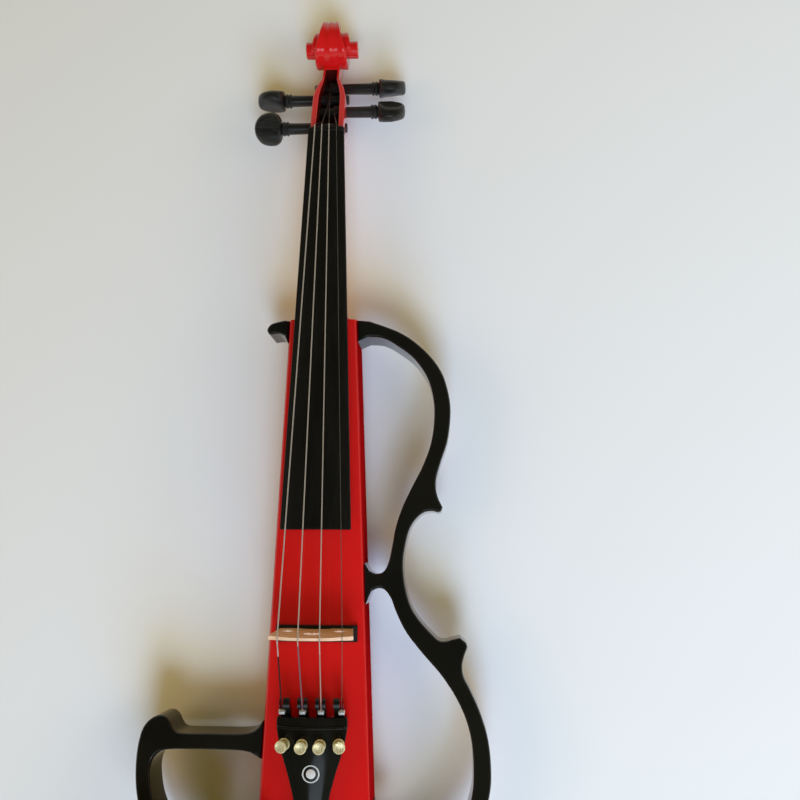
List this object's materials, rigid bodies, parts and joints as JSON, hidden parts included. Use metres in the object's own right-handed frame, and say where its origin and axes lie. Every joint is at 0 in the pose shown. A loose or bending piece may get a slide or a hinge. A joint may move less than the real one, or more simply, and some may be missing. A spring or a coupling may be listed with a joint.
{
  "type": "electric violin",
  "caption": "Solid-body electric violin on its back: tapered core, open frame wings, carved scroll, turning pegs, arched bridge, tailpiece with built-in fine tuners.",
  "frame": {"origin": "on the flat back of the core, straight below the middle of the bridge", "axes": "+Y from the tail to the scroll, +Z from the back to the strings, +X to the E-string side"},
  "size_m": [0.2143, 0.5882, 0.0792],
  "materials": {
    "red_lacquer": "gloss red lacquer",
    "black_gloss": "gloss black",
    "ebony": "satin black",
    "board_black": "matt black",
    "maple": "bare, oiled",
    "brass": "polished, knurled",
    "steel": "plated",
    "silver_wire": "wound wire",
    "pearl": "polished pearl",
    "nylon": "smooth black",
    "black_plastic": "satin black",
    "circuit_green": "satin green",
    "battery_grey": "satin grey",
    "cork": "natural cork"
  },
  "bodies": {
    "violin": {"body_core": "red_lacquer", "neck_and_scroll": "red_lacquer", "fingerboard": "board_black", "upper_nut": "ebony", "right_frame": "black_gloss", "left_loop": "black_gloss", "upper_horn": "black_gloss", "piezo_pickup": "black_plastic", "bridge": "maple", "tailpiece": "black_gloss", "tailpiece_fret": "black_gloss", "eye_ring": "steel", "eye_dot": "pearl", "lever_axle": "steel", "string_g": "silver_wire", "string_d": "silver_wire", "string_a": "silver_wire", "string_e": "silver_wire", "saddle": "ebony", "end_button": "ebony", "tail_gut": "nylon", "control_plate": "black_plastic", "preamp_board": "circuit_green", "output_jack": "steel", "headphone_jack": "steel", "battery": "battery_grey", "chin_rest_cup": "ebony", "chin_rest_upper_bracket": "steel", "chin_rest_upper_pad": "cork"},
    "g_peg": {"peg_g": "ebony", "string_winding_g": "silver_wire"},
    "d_peg": {"peg_d": "ebony", "string_winding_d": "silver_wire"},
    "a_peg": {"peg_a": "ebony", "string_winding_a": "silver_wire"},
    "e_peg": {"peg_e": "ebony", "string_winding_e": "silver_wire"},
    "g_lever": {"tuner_lever_g": "black_gloss", "ball_end_g": "steel"},
    "d_lever": {"tuner_lever_d": "black_gloss", "ball_end_d": "steel"},
    "a_lever": {"tuner_lever_a": "black_gloss", "ball_end_a": "steel"},
    "e_lever": {"tuner_lever_e": "black_gloss", "ball_end_e": "steel"},
    "g_screw": {"tuner_screw_g": "brass"},
    "d_screw": {"tuner_screw_d": "brass"},
    "a_screw": {"tuner_screw_a": "brass"},
    "e_screw": {"tuner_screw_e": "brass"},
    "volume": {"volume_knob": "black_plastic"},
    "tone": {"tone_knob": "black_plastic"},
    "power": {"power_switch": "steel"},
    "door": {"battery_door": "black_plastic"},
    "clamp_foot": {"chin_rest_lower_bracket": "steel", "chin_rest_lower_pad": "cork"},
    "left_barrel": {"chin_rest_barrel_left": "steel"},
    "right_barrel": {"chin_rest_barrel_right": "steel"}
  },
  "joints": [
    {"name": "g_peg_turn", "type": "hinge", "parent": "violin", "child": "g_peg", "pos_m": [0, 0.336, 0.029], "axis": [1, 0, 0], "continuous": true},
    {"name": "d_peg_turn", "type": "hinge", "parent": "violin", "child": "d_peg", "pos_m": [0, 0.36096, 0.0207], "axis": [1, 0, 0], "continuous": true},
    {"name": "a_peg_turn", "type": "hinge", "parent": "violin", "child": "a_peg", "pos_m": [0, 0.37092, 0.01738], "axis": [1, 0, 0], "continuous": true},
    {"name": "e_peg_turn", "type": "hinge", "parent": "violin", "child": "e_peg", "pos_m": [0, 0.34976, 0.02442], "axis": [1, 0, 0], "continuous": true},
    {"name": "g_lever_tilt", "type": "hinge", "parent": "violin", "child": "g_lever", "pos_m": [-0.01575, -0.04913, 0.05377], "axis": [1, 0, 0], "range_deg": [0, 8]},
    {"name": "d_lever_tilt", "type": "hinge", "parent": "violin", "child": "d_lever", "pos_m": [-0.00525, -0.04913, 0.05377], "axis": [1, 0, 0], "range_deg": [0, 8]},
    {"name": "a_lever_tilt", "type": "hinge", "parent": "violin", "child": "a_lever", "pos_m": [0.00525, -0.04913, 0.05377], "axis": [1, 0, 0], "range_deg": [0, 8]},
    {"name": "e_lever_tilt", "type": "hinge", "parent": "violin", "child": "e_lever", "pos_m": [0.01575, -0.04913, 0.05377], "axis": [1, 0, 0], "range_deg": [0, 8]},
    {"name": "g_screw_turn", "type": "hinge", "parent": "violin", "child": "g_screw", "pos_m": [-0.01575, -0.0603, 0.05932], "axis": [0.1564, 0.0775, -0.9846], "range_deg": [0, 1081]},
    {"name": "d_screw_turn", "type": "hinge", "parent": "violin", "child": "d_screw", "pos_m": [-0.00525, -0.06044, 0.06109], "axis": [0, 0.0785, -0.9969], "range_deg": [0, 1081]},
    {"name": "a_screw_turn", "type": "hinge", "parent": "violin", "child": "a_screw", "pos_m": [0.00525, -0.06044, 0.06109], "axis": [0, 0.0785, -0.9969], "range_deg": [0, 1081]},
    {"name": "e_screw_turn", "type": "hinge", "parent": "violin", "child": "e_screw", "pos_m": [0.01575, -0.0603, 0.05932], "axis": [-0.1564, 0.0775, -0.9846], "range_deg": [0, 1081]},
    {"name": "volume_turn", "type": "hinge", "parent": "violin", "child": "volume", "pos_m": [0.03219, -0.10799, 0.028], "axis": [1, 0, 0], "range_deg": [-150, 150]},
    {"name": "tone_turn", "type": "hinge", "parent": "violin", "child": "tone", "pos_m": [0.03219, -0.12999, 0.028], "axis": [1, 0, 0], "range_deg": [-150, 150]},
    {"name": "power_slide", "type": "slide", "parent": "violin", "child": "power", "axis": [0, 1, 0], "range_m": [0, 0.004]},
    {"name": "door_swing", "type": "hinge", "parent": "violin", "child": "door", "pos_m": [0, -0.03489, 0.0017], "axis": [1, 0, 0], "range_deg": [0, 100]},
    {"name": "clamp_slide", "type": "slide", "parent": "violin", "child": "clamp_foot", "axis": [0, 0, -1], "range_m": [0, 0.0056]},
    {"name": "left_barrel_turn", "type": "hinge", "parent": "violin", "child": "left_barrel", "pos_m": [-0.06595, -0.15308, 0.02], "axis": [0, 0, 1], "range_deg": [0, 1441]},
    {"name": "right_barrel_turn", "type": "hinge", "parent": "violin", "child": "right_barrel", "pos_m": [-0.04681, -0.15887, 0.02], "axis": [0, 0, 1], "range_deg": [0, 1441]}
  ],
  "couplings": [
    {"joint": "g_screw_turn", "follows": "g_lever_tilt", "ratio": 135},
    {"joint": "d_screw_turn", "follows": "d_lever_tilt", "ratio": 135},
    {"joint": "a_screw_turn", "follows": "a_lever_tilt", "ratio": 135},
    {"joint": "e_screw_turn", "follows": "e_lever_tilt", "ratio": 135},
    {"joint": "left_barrel_turn", "follows": "clamp_slide", "rad_per_m": 4488},
    {"joint": "right_barrel_turn", "follows": "clamp_slide", "rad_per_m": 4488}
  ]
}
